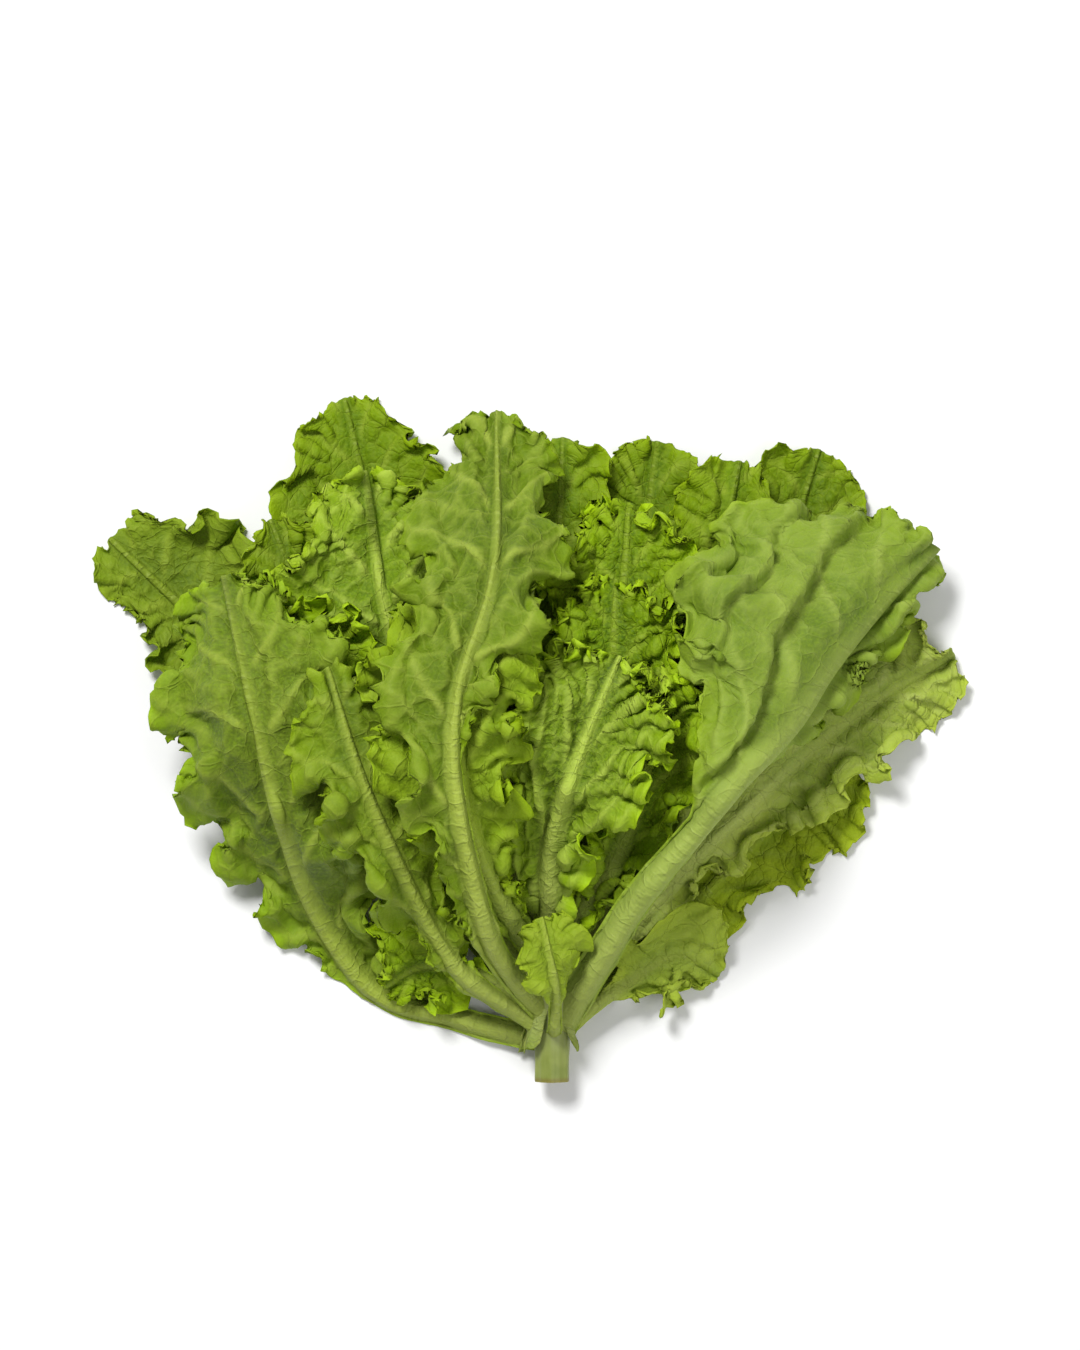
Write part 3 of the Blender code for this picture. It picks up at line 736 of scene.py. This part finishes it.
PLAIN = Skin("green_leaf", blade=0x627C0C, margin=0x84A006, rib=0x93A734, step=1.2,
             frills=((19, 2.2), (8, 0.9)), curl=0.06, teeth=1.6, lean=1.2, vein_gap=12, vein=0.6,
             cell=5.5, blister=1.0, pleat=1.2)
LOWEST_LEAVES = (
    (Leaf("under_leaf_right", ((11, 0), (44, 28), (78, 62), (112, 91)), 1, (38, 24),
          (4, 18), (4, 18), 0, 6, 4.5, (0.10, 0.10), 1, False, True),
     # Its blade is painted brighter than its own green: painted light against the shadow that the leaves
     # above cast on it.
     PLAIN._replace(blade=0x93A622, margin=0xA2B61E)),
    (Leaf("under_leaf_far_left", ((-11, 6), (-50, 50), (-106, 116), (-164, 172)), 1, (22, 44),
          (4, 16), (6, 20), 2, 8, 4.5, (0.10, 0.10), 2, True, True),
     PLAIN._replace(slot="pale_leaf", blade=0x667B18, margin=0x7B9510)),
    (Leaf("under_leaf_top_left", ((-10, 24), (-34, 90), (-62, 164), (-77, 224)), 4, (38, 34),
          (5, 18), (5, 18), 0, 8, 4.0, (0.08, 0.08), 3, False, True),
     PLAIN),
    (Leaf("under_leaf_top_right", ((11, 16), (44, 80), (80, 148), (99, 205)), 3, (32, 38),
          (5, 18), (5, 18), 0, 8, 4.0, (0.08, 0.08), 4, False, True),
     PLAIN._replace(blade=0x58710A)),
    (Leaf("under_leaf_top", ((5, 38), (14, 100), (32, 162), (39, 208)), 5, (31, 31),
          (5, 18), (5, 18), 0, 6, 4.0, (0.06, 0.06), 5, False, True),
     PLAIN._replace(blade=0x526C07)),
)
for leaf, skin in LOWEST_LEAVES:
    piece = leaf_piece(leaf, skin)
    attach(piece, "root")
    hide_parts(leaf.name)


# The next leaves fan out over the lowest, front up: two along the top of the fan, one on each side,
# and a small torn one low on the right. They are thin crisp blades with frilled margins.
SIDE_LEAVES = (
    (Leaf("side_leaf_right", ((11, 9), (60, 62), (107, 103), (149, 129)), 7, (32, 24),
          (8, 16), (8, 22), 2, 4, 5.0, (0.08, 0.08), 6, False, True),
     PLAIN._replace(blade=0xA3B158, margin=0xA6B93A, rib=0xB2BE66, step=1.1, pleat=2.8)),
    (Leaf("side_leaf_top", ((-2, 50), (-4, 110), (2, 164), (4, 209)), 8, (26, 26),
          (5, 18), (5, 18), 3, 6, 4.0, (0.06, 0.06), 7, False, False),
     PLAIN),
    (Leaf("side_leaf_top_right", ((10, 23), (32, 80), (57, 146), (69, 200)), 7, (28, 32),
          (8, 20), (8, 20), 4, 4, 4.5, (0.08, 0.08), 8, False, True),
     PLAIN._replace(blade=0x5C7606, step=1.1, pleat=1.8)),
    (Leaf("side_leaf_left", ((-10, 18), (-48, 80), (-88, 144), (-103, 178)), 7, (27, 27),
          (8, 20), (8, 20), 3, 4, 4.0, (0.08, 0.08), 9, False, False),
     PLAIN._replace(blade=0x5F7513)),
    (Leaf("base_leaf_right", ((10, -3), (28, 8), (46, 18), (62, 10)), 8, (19, 20),
          (8, 20), (8, 20), 3, -4, 5.0, (0.20, 0.20), 10, False, False),
     PLAIN._replace(blade=0xA4B452, margin=0xA0B432, step=0.8, teeth=1.8)),
)
for leaf, skin in SIDE_LEAVES:
    piece = leaf_piece(leaf, skin)
    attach(piece, "root")
    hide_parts(leaf.name)


# The inner leaves are younger and crisper: one turned back up at the upper left, whose net of veins
# stands out in ridges, and four front up round the heart, with tightly frilled margins.
CRISP = PLAIN._replace(slot="heart_leaf", blade=0x4F6B02, margin=0x9CBF08, rib=0x9DB436, step=0.95,
                       frills=((15, 3.4), (8.0, 2.8), (4.8, 0.5)), curl=0.12, teeth=1.6, lean=1.5,
                       vein=0.8, cell=5.0, blister=1.6, pleat=1.2)
INNER_LEAVES = (
    (Leaf("crinkled_leaf", ((-9, 36), (-32, 85), (-58, 137), (-69, 196)), 8, (34, 34),
          (6, 18), (6, 18), 4, 2, 5.5, (0.12, 0.12), 11, True, True),
     CRISP._replace(slot="green_leaf", blade=0x5E7A06, margin=0x96B60A, rib=0xB0C450, step=0.9,
                    frills=((13, 2.6), (6.5, 2.2)), vein=2.0, vein_gap=12, cell=6.2, blister=1.3)),
    (Leaf("inner_leaf_top", ((8, 44), (14, 90), (24, 137), (28, 184)), 9, (30, 30),
          (8, 22), (8, 22), 5, 2, 5.5, (0.08, 0.08), 12, False, False),
     CRISP._replace(slot="green_leaf", blade=0x627C08)),
    (Leaf("inner_leaf_left", ((-10, 12), (-50, 66), (-80, 112), (-94, 146)), 12, (27, 27),
          (8, 22), (8, 22), 4, 2, 5.0, (0.06, 0.06), 13, False, False),
     CRISP._replace(blade=0x546E0A, step=1.1)),
    (Leaf("inner_leaf_middle", ((3, 50), (14, 80), (21, 115), (23, 156)), 14, (29, 29),
          (8, 24), (8, 24), 6, 2, 5.5, (0.04, 0.04), 14, False, False),
     CRISP._replace(blade=0x4C6802)),
    (Leaf("heart_leaf_right", ((8, 30), (24, 56), (34, 88), (38, 124)), 14, (26, 26),
          (10, 22), (10, 22), 5, 2, 6.0, (0.0, 0.0), 15, False, False),
     CRISP._replace(blade=0x486302, step=0.7, blister=1.4)),
)
for leaf, skin in INNER_LEAVES:
    piece = leaf_piece(leaf, skin)
    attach(piece, "root")
    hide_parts(leaf.name)


# The outer leaves on the left lie back up, with smooth waxy backs and thick pale ribs. The widest
# one's stalk bends round to the crown, and a small torn leaf fills the bend.
WAXY = PLAIN._replace(slot="pale_leaf", blade=0x56681A, margin=0x76900E, rib=0x99AA40,
                      step=1.0, frills=((18, 2.4), (8, 1.0)), curl=0.06, teeth=1.7,
                      lean=1.3, vein_gap=16, vein=0.8, cell=8.0, blister=0.9, pleat=2.4)
LEFT_LEAVES = (
    (Leaf("outer_leaf_left", ((-9, -6), (-36, -5), (-65, 4), (-87, 36), (-99, 76), (-110, 124), (-118, 157)),
          1, (36, 40), (-8, -16), (-10, -24), 4, -6, 7.0, (0.25, 0.12), 17, True, True),
     WAXY._replace(margin=0x86A80C, frills=((11, 2.6), (6, 1.2)), curl=0.09, teeth=2.6)),
    (Leaf("base_leaf_left", ((-10, 3), (-30, 12), (-48, 14), (-62, 6)), 12, (17, 19),
          (6, 16), (6, 16), 3, -2, 5.0, (0.26, 0.26), 23, False, False),
     CRISP._replace(slot="green_leaf", blade=0x546E0A, step=0.8)),
    (Leaf("outer_leaf_middle_left", ((-11.5, -3), (-33, 13), (-48, 38), (-67, 83), (-80, 124)), 12, (20, 25),
          (-8, -20), (-8, -20), 4, -4, 6.0, (0.10, 0.10), 18, True, False),
     WAXY._replace(blade=0x596F0A, margin=0x7F9C06, teeth=2.1)),
)
for leaf, skin in LEFT_LEAVES:
    piece = leaf_piece(leaf, skin)
    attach(piece, "root")
    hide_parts(leaf.name)


# The stem is a short fleshy butt, cut straight across below the crown, which every stalk grows from.
# Its skin is pale green and drawn into soft ribs; the cut has dried a little brown at its rim.
STEM_ROWS, STEM_SIDES = 110, 72
LAID_SIDES = 20
CUT_DISH = 0.5


def stem_grid(rows, sides):
    """Rings along the stem. A ring is an ellipse between its sections' sizes, with soft ribs round it."""
    sections = on_curve(STEM_SECTIONS, np.linspace(0, len(STEM_SECTIONS) - 1, rows))
    turn = np.linspace(0, 2 * math.pi, sides, endpoint=False)
    y, half_width, half_height, middle = (sections[:, k, None] for k in range(4))
    ribs = (1 + 0.030 * np.sin(5 * turn + 0.02 * y) + 0.018 * np.sin(11 * turn - 0.05 * y + 1)
            + 0.02 * np.sin(0.35 * y + 2 * turn))
    return np.stack((half_width * ribs * np.cos(turn), y + 0 * turn,
                     middle + half_height * ribs * np.sin(turn)), axis=2)


turn = np.linspace(0, 2 * math.pi, LAID_SIDES, endpoint=False)
y, half_width, half_height, middle = (STEM_SECTIONS[:, k, None] for k in range(4))
laid_rings = np.stack((half_width * np.cos(turn), y + 0 * turn, middle + half_height * np.sin(turn)), axis=2)
laid_pile.add(laid_rings[:, :LAID_SIDES // 2 + 1], LAID_STEPS)
rings = stem_grid(STEM_ROWS, STEM_SIDES)
fine_pile.add(rings[:, :STEM_SIDES // 2 + 1], FINE_STEPS)
still_to_come.pop("stem")

# The cut face is a few rings inside the first one, dished a little, and a middle point
cut_shares = np.array((0.0, 0.25, 0.5, 0.75, 0.92))[:, None, None]
cut_middle = rings[0].mean(axis=0)
cut_rings = cut_middle + (rings[0] - cut_middle) * cut_shares
cut_rings[..., 1] += CUT_DISH * (1 - cut_shares[..., 0] ** 2)
stem_points = np.concatenate((cut_rings[1:], rings)).reshape(-1, 3)
ring_count = len(stem_points) // STEM_SIDES
at = np.arange(len(stem_points)).reshape(ring_count, STEM_SIDES)
beside = np.roll(at, -1, axis=1)
stem_walls = np.stack((at[:-1], at[1:], beside[1:], beside[:-1]), axis=-1).reshape(-1, 4).tolist()
first, last = len(stem_points), len(stem_points) + 1
stem_ends = [(first, a, b) for a, b in zip(at[0].tolist(), beside[0].tolist())]
stem_ends += [(last, b, a) for a, b in zip(at[-1].tolist(), beside[-1].tolist())]
stem_points = np.vstack((stem_points, cut_rings[0, 0], rings[-1].mean(axis=0)))
stem_mesh = bpy.data.meshes.new("cut_stem")
stem_mesh.from_pydata(stem_points * MM + CROWN, [], stem_walls + stem_ends)
from_cut = np.clip(stem_points[:, 1] - STEM_SECTIONS[0, 0], 0, None).astype(np.float32)
stem_mesh.attributes.new("from_cut", "FLOAT", "POINT").data.foreach_set("value", from_cut)
stem_mesh.shade_smooth()

stem_skin = bpy.data.materials.new("stem_skin")
stem_skin.use_nodes = True
tree = stem_skin.node_tree
shader = tree.nodes["Principled BSDF"]
place = add_node(tree, "ShaderNodeTexCoord", {}, 3)
stretched = add_node(tree, "ShaderNodeMapping", {"Vector": place, "Scale": (900.0, 60.0, 900.0)})
fibres = add_node(tree, "ShaderNodeTexNoise", {"Vector": stretched, "Scale": 1.0, "Detail": 3.0})
cloud = add_node(tree, "ShaderNodeTexNoise", {"Vector": place, "Scale": 120.0, "Detail": 3.0})
from_cut = add_node(tree, "ShaderNodeAttribute", {}, 2, attribute_name="from_cut")
colour = mixed(tree, add_node(tree, "ShaderNodeMapRange", {0: cloud, 1: 0.35, 2: 0.65}),
               linear(0x72802F), linear(0x899546))
colour = mixed(tree, scaled(tree, fibres, 0.5, -0.05), colour, linear(0x969E52))
crown_pale = add_node(tree, "ShaderNodeMapRange", {0: from_cut, 1: 9.0, 2: 24.0, 3: 0.0, 4: 0.8})
colour = mixed(tree, crown_pale, colour, linear(0xA4AE6C))
browned = add_node(tree, "ShaderNodeMapRange", {0: from_cut, 1: 0.3, 2: 1.6, 3: 0.75, 4: 0.0})
colour = mixed(tree, browned, colour, linear(0x7A6A2C))
tree.links.new(colour, shader.inputs["Base Color"])
bump = add_node(tree, "ShaderNodeBump", {"Strength": 0.5, "Distance": 0.0004, "Height": fibres})
tree.links.new(bump, shader.inputs["Normal"])
tree.links.new(scaled(tree, cloud, 0.2, 0.36), shader.inputs["Roughness"])
shader.inputs["Subsurface Weight"].default_value = 0.2
shader.inputs["Subsurface Radius"].default_value = (0.8, 1.0, 0.3)
shader.inputs["Subsurface Scale"].default_value = 0.003
stem_mesh.materials.append(stem_skin)
cut_stem = bpy.data.objects.new("cut_stem", stem_mesh)
bpy.context.scene.collection.objects.link(cut_stem)
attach(cut_stem, "root")
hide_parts("stem")

# Torn feet of leaves that were pulled off stay round the butt: place round the stem in degrees, then
# start along Y, length, half width and flare
TORN_FEET = ((148, -1, 17, 5.0, 4.5, 31), (205, -2, 15, 4.0, 6.0, 32), (28, -7, 9, 2.6, 3.2, 33))


def torn_foot(place, start, length, half_wide, flare, seed):
    """An arc of the stem's own ellipse that starts inside it and flares out to a ragged end, both faces."""
    draw = np.random.default_rng(seed)
    along, across = np.linspace(0, 1, 30)[:, None], np.linspace(-1, 1, 33)[None, :]
    ragged = 1 + 0.12 * np.sin(3 * across + draw.uniform(0, 6))
    ragged = ragged + 0.03 * np.sin(9 * across + draw.uniform(0, 6))
    y = start - length * along * ragged * (1 - 0.3 * across**2)
    half_width, half_height, middle = (np.interp(y, STEM_SECTIONS[:, 0], STEM_SECTIONS[:, k])
                                       for k in (1, 2, 3))
    turn = math.radians(place) + across * half_wide / 6.2 * (1 - 0.35 * along)
    lifted = -0.8 + 1.6 * smooth_step(0, 0.3, along) + flare * along**2 * (1 - 0.4 * np.abs(across))
    lifted = lifted + 0.4 * along * np.sin(4 * across + 5 * along + draw.uniform(0, 6))
    thick = 1.3 - 0.8 * along
    faces = [np.stack(((half_width + out) * np.cos(turn), y,
                       middle + (half_height + out) * np.sin(turn)), axis=2)
             for out in (lifted + thick, lifted)]
    tail = {"rib": 0.6 * (1 - along) + 0 * across, "vein": 0 * along * across, "net": 0 * along * across,
            "edge": np.exp(-(1 - np.abs(across)) * 4) * along, "back": 1 + 0 * along * across,
            "q": half_wide * across + 0 * along, "walk": 30 + length * along + 0 * across}
    return faces[0], faces[1], tail


foot_finish = leaf_finish("torn_foot", PLAIN._replace(blade=0x8E9A48, margin=0xA0AA50, rib=0xAAB474))
for number, foot_shape in enumerate(TORN_FEET):
    piece_name = f"torn_foot_{number + 1}"
    foot_mesh = closed_mesh(piece_name, *torn_foot(*foot_shape))
    foot_mesh.materials.append(foot_finish)
    piece = bpy.data.objects.new(piece_name, foot_mesh)
    bpy.context.scene.collection.objects.link(piece)
    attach(piece, "root")
    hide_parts("stem")


# The heart leaf lies back up in the middle, a fan of raised veins under a tightly frilled top. The
# wing to its left is a bright thin blade that shows beside the centre leaf.
HEART_LEAVES = (
    (Leaf("heart_leaf", ((0, 30), (0, 60), (10, 94), (24, 128)), 21, (33, 28),
          (6, 16), (6, 16), 4, 0, 6.0, (0.0, 0.0), 16, True, False),
     # Its blade is painted darker than its own green: painted shade for the deep heart of the head.
     CRISP._replace(blade=0x3F5800, margin=0x9CBF08, rib=0xABC04C, step=0.7, frills=((12, 3.8), (6.0, 2.0)),
                    curl=0.11, lean=2.6, vein=2.0, vein_gap=9, cell=4.6, blister=0.8)),
    (Leaf("wing_leaf", ((-8, 20), (-26, 56), (-34, 100), (-28, 157)), 18, (32, 25),
          (-4, -12), (-5, -14), 3, -2, 6.0, (0.06, 0.06), 19, True, False),
     CRISP._replace(slot="green_leaf", blade=0x6B830B, margin=0x89A709, step=0.9, cell=6.5, blister=1.2)),
)
for leaf, skin in HEART_LEAVES:
    piece = leaf_piece(leaf, skin)
    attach(piece, "root")
    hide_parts(leaf.name)


# The two largest outer leaves lie on top, back up, waxy and pale, with ribs as thick as a pencil that
# run down to the cut stem. The small torn leaf between their stalks is the last.
TOP_LEAVES = (
    (Leaf("outer_leaf_centre", ((-7, 2), (-22, 25), (-34, 80), (-33, 115), (-21, 156), (-20, 218)),
          20, (30, 24), (-6, -18), (-4, -16), 3, -8, 6.5, (0.08, 0.42), 20, True, True),
     # Its blade is painted darker than its own green: painted shade.
     WAXY._replace(blade=0x4A6005, margin=0x759203, rib=0xA4B44A, step=0.9,
                   frills=((17, 2.2), (8, 1.1)), curl=0.05, teeth=2.4)),
    (Leaf("outer_leaf_right",
          ((9, -2), (27, 34), (48, 62), (66, 84), (86, 104), (100, 124), (119, 146), (141, 168)),
          20, (68, 13), (-6, -22), (-14, -40), 6, -8, 6.5, (0.38, 0.50), 21, True, True),
     WAXY._replace(blade=0x778B38, margin=0x84A016, rib=0x9CAE50, step=0.9, blister=0.5, pleat=3.8)),
    (Leaf("base_leaf", ((1, -14), (1, 0), (0, 15), (-4, 34)), 17, (14, 14),
          (-6, -20), (-6, -20), 1, 0, 4.0, (0.32, 0.32), 22, True, False),
     PLAIN._replace(blade=0x768B1E, margin=0x8FA81C, step=0.7, frills=((9, 1.5), (5, 0.5)), teeth=2.6,
                    blister=0.6, pleat=0.8)),
)
for leaf, skin in TOP_LEAVES:
    piece = leaf_piece(leaf, skin)
    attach(piece, "root")
    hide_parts(leaf.name)
